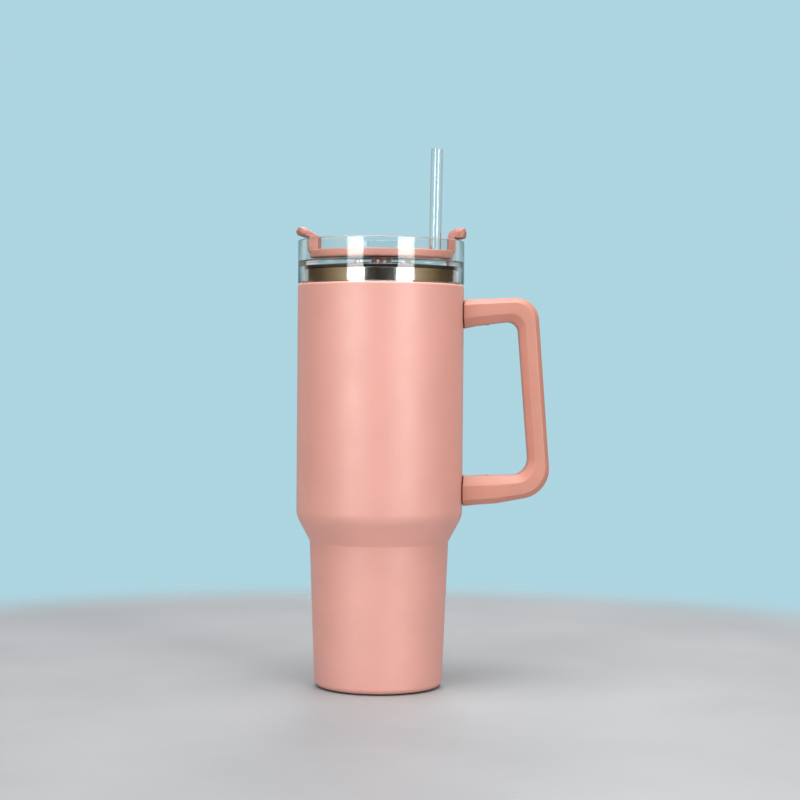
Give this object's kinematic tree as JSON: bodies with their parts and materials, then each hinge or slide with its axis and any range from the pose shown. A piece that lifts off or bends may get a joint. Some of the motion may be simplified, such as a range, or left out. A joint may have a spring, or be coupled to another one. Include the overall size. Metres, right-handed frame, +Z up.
{
  "type": "insulated tumbler with lid",
  "caption": "Tall insulated steel tumbler with a side handle, a clear lift-off lid with a turning cover, and a straw.",
  "frame": {"origin": "centre of the base pad's underside, on the tumbler's axis", "axes": "+Z up along the tumbler's axis, +X towards the handle"},
  "size_m": [0.153, 0.1, 0.324],
  "materials": {
    "powder_coat": "fine matt powder coat",
    "bare_steel": "polished stainless steel with fine turning marks",
    "solder": "dull bead",
    "getter": "sintered",
    "copper": "bright copper foil",
    "pad_rubber": "matt rubber",
    "handle_plastic": "fine satin moulded plastic",
    "core_plastic": "rough glass-filled plastic",
    "clear_plastic": "clear polished copolyester",
    "silicone": "translucent silicone",
    "black_seal": "black silicone",
    "cover_plastic": "satin moulded plastic",
    "straw_plastic": "clear extruded plastic"
  },
  "bodies": {
    "cup": {"outer_shell": "powder_coat", "inner_liner": "bare_steel", "base_plate": "bare_steel", "vacuum_seal": "solder", "getter_clip": "bare_steel", "getter_pellet": "getter", "reflector_foil": "copper", "base_pad": "pad_rubber", "upper_bracket": "bare_steel", "lower_bracket": "bare_steel", "handle": "handle_plastic", "handle_core": "core_plastic", "upper_screw": "bare_steel", "lower_screw": "bare_steel", "upper_plug": "handle_plastic", "lower_plug": "handle_plastic"},
    "lid": {"lid_body": "clear_plastic", "lid_gasket": "silicone", "lip_seal": "black_seal", "straw_grommet": "silicone"},
    "cover": {"rotating_cover": "cover_plastic", "cover_seal": "silicone", "pivot_washer": "silicone", "pivot_screw": "bare_steel"},
    "straw": {"straw": "straw_plastic"}
  },
  "joints": [
    {"name": "lid_lift", "type": "slide", "parent": "cup", "child": "lid", "axis": [0, 0, 1], "range_m": [0, 0.25]},
    {"name": "cover_turn", "type": "hinge", "parent": "lid", "child": "cover", "pos_m": [0, 0, 0.2566], "axis": [0, 0, 1], "range_deg": [0, 60]},
    {"name": "straw_pull", "type": "slide", "parent": "lid", "child": "straw", "axis": [0.014, 0, 0.9999], "range_m": [0, 0.27]}
  ]
}
